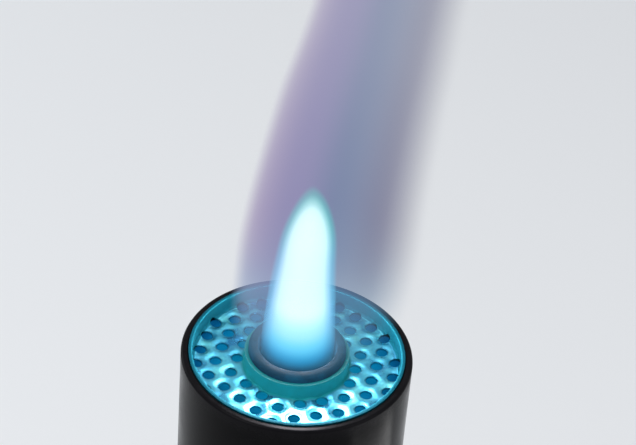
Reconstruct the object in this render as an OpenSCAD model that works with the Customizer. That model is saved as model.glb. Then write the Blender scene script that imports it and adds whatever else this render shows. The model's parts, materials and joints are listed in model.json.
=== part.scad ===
// Laboratory bunsen burner with a flame-retention head.
//
// A cast foot carries a valve body with a hose nozzle on one side and a needle valve on
// the other. A jet in the body blows gas up a mixing sleeve, whose air ports are opened
// and closed by a turning collar. The barrel runs up through a wide head: a shell with a
// perforated plate round the barrel's mouth, where a ring of small flames keeps the main
// flame alight.
//
// Millimetres, Z up. The origin is on the bench under the barrel's axis. The hose nozzle
// points to -X, the valve knob to +X, and the air ports face -Y and +Y.

/* [Overall] */
// Height of the head's rim above the bench
rim_h = 165; // [150:1:220]

/* [Foot] */
// Diameter of the casting
base_d = 92; // [90:1:120]
// Height of the casting, from its lower edge to its crown
base_h = 19; // [18:1:26]
// Height of the casting's upright edge
edge_h = 6; // [4:0.5:8]
// Thickness of the upright edge
edge_wall = 3.5; // [2.5:0.5:5]
// Thickness of the sloping roof, measured upright
roof_t = 4; // [3:0.5:5]
// Diameter of the circle where the roof turns upwards
knee_d = 50; // [44:1:60]
// Height of that circle over the casting's lower edge
knee_h = 10; // [9:0.5:12]
// Radius of the roof's turn at that circle
knee_round = 9; // [4:0.5:10]
// Radius of the upright edge's upper corner
edge_round = 2.5; // [1:0.5:3]
// Radius of the hollow's turn under that circle
hollow_round = 4; // [2:0.5:6]
// Rise of the hollow's roof from that circle to the screw's boss
hollow_rise = 2; // [1:0.5:3]
// Diameter of the crown that carries the valve body
crown_d = 29; // [28:1:34]
// Thickness of the ribs under the roof
rib_t = 3; // [2:0.5:5]
// Number of ribs
ribs = 6; // [3:3:12]
// Diameter of a rubber pad
pad_d = 11; // [8:0.5:13]
// How far the pads hold the casting off the bench
pad_stand = 1; // [0.5:0.25:2]
// How deep a pad sits in the casting
pad_sink = 2; // [1:0.25:3]
// Width of the boss's metal round a pad
pad_metal = 2; // [1.5:0.25:3]
// Distance between a pad and the inside of the upright edge
pad_margin = 1; // [0.5:0.25:2]

/* [Foot screw] */
// Diameter of the screw's thread
screw_d = 8; // [6:1:9]
// Diameter of its round head
screw_head_d = 13; // [13:0.5:15]
// Height of that head
screw_head_h = 5; // [4:0.5:6]
// Thickness of the casting between the screw's head and the crown
screw_web = 8; // [6:0.5:9]
// Width of the boss's metal round the screw's head
screw_metal = 3.5; // [2.5:0.25:4]
// How far the screw reaches into the valve body
screw_bite = 7; // [5:0.5:7]
// Width across the flats of its hexagon socket
screw_key = 6; // [4:0.5:6]
// Depth of that socket
screw_key_deep = 3; // [2:0.25:3.5]
// Length of the screw's chamfered tip
screw_tip = 0.8; // [0.4:0.1:1.2]
// Play of the screw and of its head in the casting, across
screw_play = 1; // [0.6:0.1:1.4]
// Thickness of the spring washer under its head
spring_washer_t = 1.6; // [1:0.1:2]
// Width of that washer's slit
spring_slit = 1.2; // [0.8:0.1:1.6]
// Slant of that slit, in degrees
spring_slant = 18; // [10:1:25]

/* [Valve body] */
// Diameter of the upright body
body_d = 22; // [20:0.5:26]
// Height of the body, without its spigot
body_h = 24; // [23:0.5:30]
// Diameter of the flange at its foot
foot_d = 26; // [24:0.5:27]
// Thickness of that flange
foot_t = 3; // [2:0.5:4]
// Height of the slope from that flange to the body
foot_slope = 1.5; // [1:0.25:2.5]
// Height of the gas way's axis above the body's foot
gas_up = 12; // [12:0.25:14]
// Diameter of the cross arm
arm_d = 17; // [16:0.5:20]
// Reach of each end of the cross arm from the axis
arm_reach = 17; // [16:0.5:18]
// Diameter of the spigot that the mixing sleeve screws on
spigot_d = 14; // [12:0.25:14.5]
// Height of the spigot
spigot_h = 7; // [6:0.5:9]
// Diameter of the gas way on both sides of the seat
way_d = 5.2; // [4.6:0.2:5.6]
// Diameter of the upright gas way to the jet
riser_d = 3.2; // [2:0.2:3.4]
// Thickness of the fibre washer under the body
body_washer_t = 1; // [0.5:0.25:2]
// How far that washer stays inside the flange's edge
washer_inset = 1; // [0.5:0.25:2]

/* [Hose nozzle] */
// Largest diameter of the serrated tail, which fills the hose
hose_d = 10; // [8:0.5:12]
// Diameter at the foot of a serration
serration_d = 8.4; // [7.6:0.2:9]
// Diameter of the nozzle's bore
nozzle_bore_d = 6; // [4:0.5:6.5]
// Length of the plain stretch next to the hexagon
land_l = 5.5; // [4:0.5:8]
// Number of serrations
serrations = 4; // [2:1:4]
// Length of a serration
serration_l = 4; // [3:0.5:4]
// Width across the flats of the nozzle's hexagon
nozzle_hex = 14; // [13:0.5:16]
// Thickness of that hexagon
nozzle_hex_t = 5; // [4:0.5:6]
// Diameter of the nozzle's thread
nozzle_thread_d = 9.7; // [8.5:0.1:10.5]
// Length of the nozzle's thread
nozzle_thread_l = 7.5; // [6:0.5:8]
// Thickness of the gasket behind the hexagon
nozzle_gasket_t = 1; // [0.5:0.25:1.5]

/* [Needle valve] */
// Diameter of the seat's hole
seat_d = 2.6; // [1.8:0.1:2.8]
// Length of the seat's hole
seat_l = 3.8; // [2:0.2:4]
// How far the seat's edge lies beyond the body's axis
seat_past = 2.2; // [1.8:0.1:3]
// Diameter of the needle behind its point
needle_d = 3.8; // [3:0.1:4]
// Length of the needle's point
point_l = 5; // [4:0.25:6]
// Diameter of the point's blunt end
point_end_d = 0.6; // [0.2:0.1:1]
// Pitch of the spindle's thread
pitch = 0.75; // [0.5:0.05:1]
// Turns that shut the valve from where it is drawn
turns_to_shut = 2; // [1:0.25:2]
// Turns that open it fully from where it is drawn
turns_to_open = 1.25; // [1:0.25:1.5]
// Diameter of the spindle's thread
spindle_thread_d = 6; // [5:0.1:6.4]
// Length of the spindle's thread
spindle_thread_l = 5.5; // [4:0.5:6]
// Diameter of the stem that carries the knob
stem_d = 5; // [4:0.25:5.5]
// Depth of the flat on the stem for the knob's screw
stem_flat = 0.4; // [0.2:0.05:0.6]
// Diameter of the bore that the ring seal slides in
seal_bore_d = 6.6; // [6.6:0.1:7.2]
// Thickness of the ring seal
seal_t = 1.1; // [0.8:0.05:1.2]
// Width across the flats of the bonnet's hexagon
bonnet_hex = 15; // [14:0.5:17]
// Thickness of that hexagon
bonnet_hex_t = 5.5; // [4:0.5:7]
// Diameter of the bonnet's thread
bonnet_thread_d = 11; // [10:0.25:12]
// Length of the bonnet's thread
bonnet_thread_l = 7.5; // [6.5:0.5:8]
// Diameter of the bonnet's neck
bonnet_neck_d = 11.6; // [10.6:0.2:13]
// Length of the bonnet's neck
bonnet_neck_l = 4; // [3.5:0.5:5]
// Thickness of the gasket behind the bonnet's hexagon
bonnet_gasket_t = 0.8; // [0.5:0.1:1.5]

/* [Knob] */
// Diameter of the knob
knob_d = 21; // [18:0.5:24]
// Length of the knob
knob_l = 14; // [13:0.5:15]
// Number of finger flutes round it
flutes = 12; // [8:1:18]
// Diameter of a flute's hollow
flute_d = 4; // [2.5:0.25:5]
// How deep a flute cuts into the knob
flute_sink = 0.9; // [0.5:0.1:1.2]
// Width of the knob's turned-down back
knob_back_w = 2.2; // [1:0.2:3]
// Length of the knob's turned-down back
knob_back_l = 2.6; // [1:0.2:3.4]
// Diameter of the brass bush moulded into the knob
bush_d = 9; // [8:0.25:10]
// Diameter of the disc let into the knob's face
cap_d = 13; // [9:0.5:13.5]
// Thickness of that disc
cap_t = 1.2; // [0.8:0.1:1.6]
// Diameter of the grub screw that holds the knob
knob_screw_d = 3; // [2:0.5:4]
// Distance from the knob's back to the edge of that screw
knob_screw_up = 2.2; // [1.6:0.2:3]
// How far that screw ends below the knob's surface
knob_screw_sunk = 2.5; // [1.5:0.25:3.5]

/* [Jet] */
// Width across the flats of the jet's hexagon
jet_hex = 8; // [6:0.5:8.5]
// Thickness of that hexagon
jet_hex_t = 3.5; // [2.5:0.5:4]
// Diameter of the jet's thread
jet_thread_d = 6; // [5:0.25:6.5]
// Length of the jet's thread
jet_thread_l = 6; // [4:0.5:6]
// Length of the jet's tapered nose
nose_l = 5.5; // [4:0.5:6]
// Diameter of the nose's end
nose_end_d = 2.4; // [1.6:0.2:3]
// Diameter of the gas hole
orifice_d = 0.8; // [0.5:0.05:1]
// Length of the gas hole
orifice_l = 1.65; // [1:0.05:2]
// Diameter of the way up to the gas hole
jet_way_d = 2.4; // [1.6:0.1:2.6]

/* [Mixing sleeve and air collar] */
// Outside diameter of the mixing sleeve
mixer_d = 18; // [17:0.25:20]
// Length of the mixing sleeve
mixer_l = 38; // [37:0.5:50]
// Diameter of its mixing chamber
chamber_d = 11.4; // [10.4:0.1:12]
// Width across the flats of its hexagon
mixer_hex = 21; // [20:0.5:22]
// Thickness of that hexagon
mixer_hex_t = 6; // [4:0.5:6.5]
// Depth of the socket that the barrel sits in
barrel_socket = 10; // [8:0.5:12]
// Length of the taper at the sleeve's top
mixer_taper = 3; // [1.5:0.25:4]
// Thickness of the sleeve's wall at its very top
mixer_lip = 1; // [0.6:0.1:1.6]
// Diameter of an air port
port_d = 8.5; // [6:0.25:9]
// Height of the air ports above the spigot's top
port_up = 10; // [9:0.25:11]
// Thickness of the collar's wall
collar_wall = 2; // [1.5:0.25:3]
// Length of the collar
collar_l = 20; // [19:0.5:21]
// How far the collar's grip stands out past its wall
grip_proud = 1.2; // [0.6:0.1:2]
// Length of the grip
grip_l = 4.5; // [3:0.25:4.5]
// Number of grooves round the grip
grip_grooves = 48; // [24:4:72]
// Depth of a groove
groove_deep = 0.35; // [0.2:0.05:0.5]
// Height that the wave washer takes up under the collar
wave_h = 0.8; // [0.6:0.1:1.4]
// Thickness of the wave washer's strip
wave_t = 0.3; // [0.2:0.05:0.4]
// Thickness of the retaining ring above the collar
ring_t = 1; // [0.6:0.1:1.2]
// Depth of the groove that the retaining ring snaps into
ring_groove = 0.7; // [0.4:0.1:0.9]
// How far the retaining ring stands out past the sleeve
ring_stand = 1; // [0.6:0.1:1.4]
// Width of the retaining ring's gap
ring_gap = 4; // [3:0.25:6]
// Diameter of the retaining ring's ears
ear_d = 2.6; // [2:0.1:3]

/* [Barrel] */
// Outside diameter of the barrel
barrel_d = 13; // [12.5:0.1:14]
// Thickness of the barrel's wall
barrel_wall = 1.25; // [0.8:0.05:1.5]
// How far the barrel's mouth stands above the head's rim
mouth_rise = 1.3; // [0.6:0.1:2]
// Diameter of a bleed hole, which feeds the perforated plate
bleed_d = 2.4; // [1.5:0.1:3]
// Number of bleed holes
bleeds = 4; // [2:1:6]

/* [Head] */
// Outside diameter of the head's shell
head_d = 31; // [29:0.5:36]
// Thickness of the shell round the plate
lip_wall = 1; // [0.8:0.1:1.4]
// Thickness of the shell below the plate
shell_wall = 2; // [1.8:0.1:2.6]
// Length of the shell's straight side
skirt_l = 19; // [16:0.5:30]
// Height of the cone below the straight side
cone_h = 6; // [4:0.5:8]
// Length of the neck that grips the barrel
neck_l = 8; // [7:0.5:12]
// Diameter of the neck
neck_d = 19; // [18:0.5:20]
// Diameter of a grub screw in the neck
neck_screw_d = 4; // [3:0.5:4]
// Number of grub screws in the neck
neck_screws = 3; // [2:1:4]

/* [Perforated plate] */
// Thickness of the pressed sheet
plate_t = 0.5; // [0.4:0.05:0.8]
// Depth of the plate's face below the head's rim
plate_drop = 1.9; // [1.5:0.1:4]
// Diameter of a perforation
hole_d = 1.6; // [1:0.1:2]
// Distance from one perforation to the next
hole_pitch = 3; // [2.6:0.1:4]
// Height of the drawn neck above the plate's face
collar_rise = 2.1; // [1:0.1:2.4]
// How far the outermost holes are drawn in as the edge is turned up
edge_draw = 0.35; // [0.2:0.05:0.5]
// Width of the flat that is left bare round the drawn neck
bare_ring = 0.1; // [0:0.1:1]

/* [Hidden] */
$fn = 96;

// Radial clearance of a part that turns or slides on another
run_gap = 0.04;
// Radial clearance of parts that are pressed, screwed or moulded together
seat_gap = 0.02;
// Clearance between the faces of moving parts at the end of their travel
stop_gap = 0.3;
// How far a cutting shape reaches past the face that it opens
past = 1;
// Straight pieces in each rounded corner
arc_steps = 5;
// Largest radius of the small edge roundings
edge_r = 0.6;
// Slope at which a hexagon's corners are turned off
hex_slope = 20;
// Depth by which a blind threaded hole outruns its screw
thread_relief = 0.5;
// Chamfer at the start of a thread
thread_chamfer = 0.6;
// Depth of the spindle's thread
thread_deep = 0.5;
// How far a gasket stays inside its hexagon's flats
gasket_inset = 0.3;
// Radial play of a gasket or washer on its thread
gasket_play = 0.05;
washer_play = 0.3;
// Play of the ring seal along its groove
seal_play = 0.2;
// Heights up the burner's axis
base_z = pad_stand;
crown_z = base_z + base_h;
body_z = crown_z + body_washer_t;
gas_z = body_z + gas_up;
body_top = body_z + body_h;
spigot_top = body_top + spigot_h;
hex_top = body_top + mixer_hex_t;
collar_z = hex_top + wave_h;
ring_z = collar_z + collar_l + run_gap;
port_z = spigot_top + port_up;
mixer_top = body_top + mixer_l;
barrel_z = mixer_top - barrel_socket;
plate_z = rim_h - plate_drop;
shelf_z = plate_z - plate_t;
skirt_z = rim_h - skirt_l;
neck_top = skirt_z - cone_h;
neck_z = neck_top - neck_l;
bleed_z = skirt_z + bleed_d;

// Places along the valve's axis, measured from the barrel's axis towards the knob
travel_shut = pitch * turns_to_shut;
travel_open = pitch * turns_to_open;
point_slope = (needle_d - point_end_d) / 2 / point_l;
point_in_seat = (seat_d - point_end_d) / 2 / point_slope;
seat_touch = 0.1;
point_x = -seat_past - point_in_seat + seat_touch + travel_shut;
bonnet_floor = arm_reach - bonnet_thread_l;
bonnet_face = arm_reach + bonnet_gasket_t;
bonnet_hex_end = bonnet_face + bonnet_hex_t;
bonnet_end = bonnet_hex_end + bonnet_neck_l;
thread_x = bonnet_floor + travel_shut;
thread_end = thread_x + spindle_thread_l;
seal_bore_x = thread_end + travel_open;
land_x = seal_bore_x + travel_shut + stop_gap;
groove_w = seal_t + seal_play;
groove_side = 1.3;
land_end = land_x + groove_w + 2 * groove_side;
seal_x = land_x + groove_side + groove_w / 2;
knob_x = bonnet_end + travel_shut + stop_gap;
knob_floor = 1.6;
bush_l = knob_l - cap_t - knob_floor;
stem_end = knob_x + bush_l;
knob_screw_x = knob_x + knob_screw_d / 2 + knob_screw_up;

// Places along the nozzle's axis, measured from the barrel's axis towards the hose
nozzle_floor = arm_reach - nozzle_thread_l;
nozzle_face = arm_reach + nozzle_gasket_t;
tail_x = nozzle_face + nozzle_hex_t;
tail_nose = 1;
tail_l = land_l + serrations * serration_l + tail_nose;

// Radii that several parts share
barrel_r = barrel_d / 2;
bore_r = barrel_r - barrel_wall;
mixer_r = mixer_d / 2;
collar_bore_r = mixer_r + run_gap;
collar_r = collar_bore_r + collar_wall;
grip_r = collar_r + grip_proud;
lip_r = head_d / 2 - lip_wall;
shelf_r = head_d / 2 - shell_wall;
plate_r = lip_r - seat_gap;
plate_inner_r = barrel_r + seat_gap;
pad_ring_r = base_d / 2 - edge_wall - pad_d / 2 - pad_margin;
pad_boss_d = pad_d + 2 * pad_metal;
screw_boss_d = screw_head_d + 2 * screw_metal;

// ---- Shared shapes

function unit(v) = v / norm(v);
function flat(p) = [p.x, p.y];

// Corner i of an outline of [x, y, radius] points: an arc tangent to both of its sides,
// kept short enough to leave half of each side to the next corner.
function corner(outline, i) =
    let (
        n = len(outline),
        here = flat(outline[i]),
        back = flat(outline[(i + n - 1) % n]) - here,
        on = flat(outline[(i + 1) % n]) - here,
        wanted = len(outline[i]) > 2 ? outline[i][2] : 0,
        half = acos(unit(back) * unit(on)) / 2,
        radius = min(wanted, 0.48 * min(norm(back), norm(on)) * tan(half))
    )
    radius <= 0 ? [here] :
    let (
        run = radius / tan(half),
        centre = here + unit(unit(back) + unit(on)) * radius / sin(half),
        start = here + unit(back) * run - centre,
        first = atan2(start.y, start.x),
        sweep = (cross(back, on) > 0 ? -1 : 1) * (180 - 2 * half)
    )
    [for (k = [0 : arc_steps]) centre + radius * [
        cos(first + sweep * k / arc_steps), sin(first + sweep * k / arc_steps)
    ]];

function rounded(outline) = [for (i = [0 : len(outline) - 1]) each corner(outline, i)];

// A solid turned round Z from an outline of [radius, height, corner radius] points
module turned(outline) {
    rotate_extrude() polygon(rounded(outline));
}

// A ring with rounded edges
module ring(outer_r, inner_r, h, round_r = 0) {
    turned([
        [inner_r, 0, round_r], [outer_r, 0, round_r],
        [outer_r, h, round_r], [inner_r, h, round_r]
    ]);
}

// A hexagon bar whose corners are turned off at both ends
module hexagon(across, h) {
    corner_r = across / 2 / cos(30);
    turned_off = (corner_r - across / 2) * tan(hex_slope);
    intersection() {
        cylinder(r = corner_r, h = h, $fn = 6);
        turned([
            [0, 0], [across / 2, 0], [corner_r, turned_off],
            [corner_r, h - turned_off], [across / 2, h], [0, h]
        ]);
    }
}

// Lays a part built up Z along the valve's axis, towards the knob
module towards_knob() {
    translate([0, 0, gas_z]) rotate([0, 90, 0]) children();
}

// Lays a part built up Z along the nozzle's axis, towards the hose
module towards_hose() {
    translate([0, 0, gas_z]) rotate([0, -90, 0]) children();
}

// Copies evenly spaced round Z
module around(count, first = 0) {
    for (i = [0 : count - 1]) rotate(first + i * 360 / count) children();
}

// A grub screw that points along -Z from its socket at height h down to 0
module grub(d, h) {
    key_d = d * 0.55;
    chamfer = 0.4;
    difference() {
        turned([[0, 0], [d / 2 - chamfer, 0], [d / 2, chamfer], [d / 2, h, 0.2], [0, h]]);
        translate([0, 0, h / 2]) cylinder(d = key_d, h = h, $fn = 6);
    }
}

// ---- Foot

// Height of the roof's outside, over the casting's lower edge, between edge and knee
function roof_at(r) =
    knee_h + (edge_h - knee_h) * (r - knee_d / 2) / (base_d - knee_d) * 2;

module base_outside() {
    turned([
        [0, 0], [base_d / 2, 0, edge_r], [base_d / 2, edge_h, edge_round],
        [knee_d / 2, knee_h, knee_round], [crown_d / 2, base_h, 1.2], [0, base_h]
    ]);
}

module base_hollow() {
    inner_r = base_d / 2 - edge_wall;
    boss_r = screw_boss_d / 2;
    difference() {
        turned([
            [boss_r, -past], [inner_r, -past], [inner_r, roof_at(inner_r) - roof_t, 1],
            [knee_d / 2, knee_h - roof_t, hollow_round],
            [boss_r, knee_h - roof_t + hollow_rise, 1]
        ]);
        around(ribs, 180 / ribs)
            translate([0, -rib_t / 2, 0]) cube([base_d / 2, rib_t, base_h]);
        around(3) translate([pad_ring_r, 0, 0]) cylinder(d = pad_boss_d, h = base_h);
    }
}

module base_casting() {
    head_room = base_h - screw_web;
    color("#22262a") translate([0, 0, base_z]) difference() {
        base_outside();
        base_hollow();
        around(3) translate([pad_ring_r, 0, -past])
            cylinder(d = pad_d + 2 * seat_gap, h = pad_sink + past);
        translate([0, 0, -past]) cylinder(d = screw_head_d + screw_play, h = head_room + past);
        cylinder(d = screw_d + screw_play, h = base_h + past);
    }
}

module rubber_pads() {
    color("#1b1b1c") around(3) translate([pad_ring_r, 0, 0])
        turned([
            [0, 0], [pad_d / 2, 0, edge_r], [pad_d / 2, pad_stand + pad_sink],
            [0, pad_stand + pad_sink]
        ]);
}

module foot_screw() {
    seat_z = crown_z - screw_web - spring_washer_t;
    shank_l = spring_washer_t + screw_web + body_washer_t + screw_bite;
    color("#8d9196") translate([0, 0, seat_z]) difference() {
        union() {
            translate([0, 0, -screw_head_h]) turned([
                [0, 0], [screw_head_d / 2, 0, edge_r], [screw_head_d / 2, screw_head_h],
                [0, screw_head_h]
            ]);
            turned([
                [0, -edge_r], [screw_d / 2 - seat_gap, -edge_r],
                [screw_d / 2 - seat_gap, shank_l - screw_tip], [screw_d / 2 - screw_tip, shank_l],
                [0, shank_l]
            ]);
        }
        translate([0, 0, -screw_head_h - past])
            cylinder(d = screw_key / cos(30), h = screw_key_deep + past, $fn = 6);
    }
}

module foot_spring_washer() {
    color("#9a9da1") translate([0, 0, crown_z - screw_web - spring_washer_t]) difference() {
        ring(screw_head_d / 2, screw_d / 2 + washer_play, spring_washer_t, 0.2);
        rotate([spring_slant, 0, 0]) translate([0, -spring_slit / 2, -screw_d])
            cube([screw_head_d, spring_slit, 2 * screw_d]);
    }
}

module body_washer() {
    color("#7a3b2c") translate([0, 0, crown_z])
        ring(foot_d / 2 - washer_inset, (screw_d + screw_play) / 2, body_washer_t);
}

// ---- Valve body

module valve_body() {
    arm_face = 0.8;
    color("#b9b6ae") difference() {
        union() {
            translate([0, 0, body_z]) turned([
                [0, 0], [foot_d / 2, 0, edge_r], [foot_d / 2, foot_t, 1],
                [body_d / 2, foot_t + foot_slope, 1.5], [body_d / 2, body_h, edge_r],
                [spigot_d / 2, body_h], [spigot_d / 2, body_h + spigot_h, edge_r],
                [0, body_h + spigot_h]
            ]);
            translate([0, 0, gas_z]) rotate([0, 90, 0])
                translate([0, 0, -arm_reach]) turned([
                    [0, 0], [arm_d / 2, 0, arm_face], [arm_d / 2, 2 * arm_reach, arm_face],
                    [0, 2 * arm_reach]
                ]);
        }
        // Blind hole for the foot's screw
        translate([0, 0, body_z - past])
            cylinder(d = screw_d, h = screw_bite + thread_relief + past);
        // Gas way from the nozzle to the seat, the seat, and the needle's chamber
        towards_hose() translate([0, 0, seat_past + seat_l])
            cylinder(d = way_d, h = arm_reach);
        towards_hose() cylinder(d = seat_d, h = seat_past + seat_l + past);
        towards_knob() translate([0, 0, -seat_past])
            cylinder(d = way_d, h = arm_reach);
        // Threaded sockets in the arm's two ends
        towards_hose() translate([0, 0, nozzle_floor - thread_relief])
            cylinder(d = nozzle_thread_d, h = arm_reach);
        towards_knob() translate([0, 0, bonnet_floor - thread_relief])
            cylinder(d = bonnet_thread_d, h = arm_reach);
        // Riser to the jet, and the jet's threaded socket
        translate([0, 0, gas_z]) cylinder(d = riser_d, h = spigot_top - gas_z);
        translate([0, 0, spigot_top - jet_thread_l - thread_relief])
            cylinder(d = jet_thread_d, h = jet_thread_l + thread_relief + past);
    }
}

// ---- Hose nozzle

// The tail's outline, from the hexagon outwards: a plain land, then serrations that rise
// towards the hexagon so that a hose slides on and grips
function tail_outline() = concat(
    [[hose_d / 2, 0], [hose_d / 2, land_l]],
    [for (i = [1 : serrations - 1]) each [
        [serration_d / 2, land_l + i * serration_l],
        [hose_d / 2, land_l + i * serration_l]
    ]],
    [[serration_d / 2, tail_l - tail_nose], [serration_d / 2 - 0.5, tail_l]]
);

module hose_nozzle() {
    thread_r = nozzle_thread_d / 2 - seat_gap;
    color("#b9b6ae") towards_hose() difference() {
        union() {
            translate([0, 0, nozzle_floor]) turned([
                [0, 0], [thread_r - thread_chamfer, 0], [thread_r, thread_chamfer],
                [thread_r, nozzle_thread_l + nozzle_gasket_t], [0, nozzle_thread_l + nozzle_gasket_t]
            ]);
            translate([0, 0, nozzle_face]) hexagon(nozzle_hex, nozzle_hex_t);
            translate([0, 0, tail_x]) turned(concat([[0, 0]], tail_outline(), [[0, tail_l]]));
        }
        translate([0, 0, nozzle_floor - past])
            cylinder(d = nozzle_bore_d, h = tail_x + tail_l);
    }
}

module nozzle_gasket() {
    color("#7a3b2c") towards_hose() translate([0, 0, arm_reach])
        ring(nozzle_hex / 2 - gasket_inset, nozzle_thread_d / 2 + gasket_play, nozzle_gasket_t);
}

// ---- Needle valve

module valve_bonnet() {
    thread_r = bonnet_thread_d / 2 - seat_gap;
    color("#b9b6ae") towards_knob() difference() {
        union() {
            translate([0, 0, bonnet_floor]) turned([
                [0, 0], [thread_r - thread_chamfer, 0], [thread_r, thread_chamfer],
                [thread_r, bonnet_thread_l + bonnet_gasket_t], [0, bonnet_thread_l + bonnet_gasket_t]
            ]);
            translate([0, 0, bonnet_face]) hexagon(bonnet_hex, bonnet_hex_t);
            translate([0, 0, bonnet_hex_end]) turned([
                [0, -past], [bonnet_neck_d / 2, -past], [bonnet_neck_d / 2, bonnet_neck_l, edge_r],
                [0, bonnet_neck_l]
            ]);
        }
        translate([0, 0, bonnet_floor - past])
            cylinder(d = spindle_thread_d + 2 * run_gap, h = bonnet_end);
        translate([0, 0, seal_bore_x]) cylinder(d = seal_bore_d, h = bonnet_end);
    }
}

module bonnet_gasket() {
    color("#7a3b2c") towards_knob() translate([0, 0, arm_reach])
        ring(bonnet_hex / 2 - gasket_inset, bonnet_thread_d / 2 + gasket_play, bonnet_gasket_t);
}

module needle_spindle() {
    land_r = seal_bore_d / 2 - 2 * run_gap;
    groove_r = seal_bore_d / 2 - seal_t;
    relief_r = min(stem_d, spindle_thread_d - 2 * thread_deep) / 2;
    shank_r = needle_d / 2;
    color("#a7aaad") towards_knob() difference() {
        turned([
            [0, point_x], [point_end_d / 2, point_x],
            [shank_r, point_x + point_l], [shank_r, thread_x - thread_chamfer],
            [spindle_thread_d / 2, thread_x], [spindle_thread_d / 2, thread_end],
            [relief_r, thread_end + 0.4], [relief_r, land_x],
            [land_r, land_x], [land_r, land_x + groove_side],
            [groove_r, land_x + groove_side], [groove_r, land_end - groove_side],
            [land_r, land_end - groove_side], [land_r, land_end, 0.3],
            [stem_d / 2, land_end], [stem_d / 2, stem_end, 0.4], [0, stem_end]
        ]);
        // Flat for the knob's grub screw
        translate([-stem_d, -stem_d, knob_x + 1])
            cube([stem_d / 2 + stem_flat, 2 * stem_d, bush_l]);
    }
}

module spindle_o_ring() {
    section_r = (seal_t - 2 * seat_gap) / 2;
    color("#161616") towards_knob() translate([0, 0, seal_x]) rotate_extrude()
        translate([seal_bore_d / 2 - seat_gap - section_r, 0]) circle(r = section_r);
}

// ---- Knob

module valve_knob() {
    rim_r = knob_d / 2;
    face_w = 2;
    face_l = 1;
    bush_r = bush_d / 2 + seat_gap;
    color("#17181a") towards_knob() translate([0, 0, knob_x]) difference() {
        turned([
            [bush_r, 0], [rim_r - knob_back_w, 0, 1], [rim_r, knob_back_l, 2],
            [rim_r, knob_l - face_l, 1], [rim_r - face_w, knob_l, 0.8], [cap_d / 2 + seat_gap, knob_l],
            [cap_d / 2 + seat_gap, knob_l - cap_t], [0, knob_l - cap_t],
            [0, bush_l], [bush_r, bush_l]
        ]);
        around(flutes) translate([rim_r + flute_d / 2 - flute_sink, 0, -past])
            cylinder(d = flute_d, h = knob_l + 2 * past);
        translate([0, 0, knob_screw_x - knob_x]) rotate([0, -90, 0])
            cylinder(d = knob_screw_d + 2 * seat_gap, h = knob_d);
    }
}

module knob_bush() {
    color("#b5904a") towards_knob() translate([0, 0, knob_x]) difference() {
        ring(bush_d / 2, stem_d / 2 + seat_gap, bush_l);
        translate([0, 0, knob_screw_x - knob_x]) rotate([0, -90, 0])
            cylinder(d = knob_screw_d + 2 * seat_gap, h = knob_d);
    }
}

module knob_grub_screw() {
    tip = stem_d / 2 - stem_flat + seat_gap;
    color("#55585c") towards_knob() translate([0, 0, knob_screw_x]) rotate([0, -90, 0])
        translate([0, 0, tip]) grub(knob_screw_d, (knob_d - stem_d) / 2 - knob_screw_sunk);
}

module knob_disc() {
    color("#d9b21c") towards_knob() translate([0, 0, knob_x + knob_l - cap_t])
        turned([[0, 0], [cap_d / 2, 0], [cap_d / 2, cap_t, 0.3], [0, cap_t]]);
}

// ---- Jet and mixing sleeve

module gas_jet() {
    thread_r = jet_thread_d / 2 - seat_gap;
    nose_step = 0.6;
    chamfer = 0.5;
    nose_r = jet_hex / 2 - nose_step;
    nose_z = spigot_top + jet_hex_t;
    color("#c09a4e") difference() {
        union() {
            translate([0, 0, spigot_top - jet_thread_l]) turned([
                [0, 0], [thread_r - chamfer, 0], [thread_r, chamfer], [thread_r, jet_thread_l + past],
                [0, jet_thread_l + past]
            ]);
            translate([0, 0, spigot_top]) hexagon(jet_hex, jet_hex_t);
            translate([0, 0, nose_z]) turned([
                [0, -past], [nose_r, -past], [nose_r, 0.8, 0.5],
                [nose_end_d / 2, nose_l, 0.3], [0, nose_l]
            ]);
        }
        translate([0, 0, spigot_top - jet_thread_l - past])
            cylinder(d = jet_way_d, h = jet_thread_l + jet_hex_t + nose_l - orifice_l + past);
        translate([0, 0, spigot_top]) cylinder(d = orifice_d, h = jet_hex_t + nose_l + past);
    }
}

// The two air ports: round holes that face -Y and +Y
module air_ports(reach) {
    translate([0, 0, port_z]) rotate([90, 0, 0])
        translate([0, 0, -reach]) cylinder(d = port_d, h = 2 * reach);
}

module mixing_sleeve() {
    barrel_seat_r = barrel_r + seat_gap;
    color("#b9b6ae") difference() {
        union() {
            translate([0, 0, body_top]) hexagon(mixer_hex, mixer_hex_t);
            turned([
                [0, body_top + past], [mixer_r, body_top + past], [mixer_r, mixer_top - mixer_taper, 1],
                [barrel_seat_r + mixer_lip, mixer_top, 0.3], [0, mixer_top]
            ]);
        }
        translate([0, 0, body_top - past])
            cylinder(d = spigot_d + 2 * seat_gap, h = spigot_h + thread_relief + past);
        translate([0, 0, body_top]) cylinder(d = chamber_d, h = mixer_l - barrel_socket);
        translate([0, 0, barrel_z]) cylinder(r = barrel_seat_r, h = barrel_socket + past);
        translate([0, 0, ring_z]) ring(mixer_r + past, mixer_r - ring_groove, ring_t + run_gap);
        air_ports(mixer_d);
    }
}

// A thin strip bent into three waves round the sleeve, which loads the collar
module wave_washer() {
    steps = 60;
    waves = 3;
    play = 0.15;
    inset = 0.3;
    inner = mixer_r + play;
    outer = collar_r - inset;
    rise = (wave_h - wave_t - 2 * seat_gap) / 2;
    sides = [[inner, 0], [outer, 0], [outer, wave_t], [inner, wave_t]];
    points = [
        for (i = [0 : steps - 1], s = sides)
            let (a = i * 360 / steps)
            [s[0] * cos(a), s[0] * sin(a), s[1] + rise * (1 - cos(waves * a))]
    ];
    faces = [
        for (i = [0 : steps - 1], s = [0 : 3])
            let (a = 4 * i, b = 4 * ((i + 1) % steps), t = (s + 1) % 4)
            [a + s, a + t, b + t, b + s]
    ];
    color("#9a9da1") translate([0, 0, hex_top + seat_gap]) polyhedron(points, faces);
}

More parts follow.
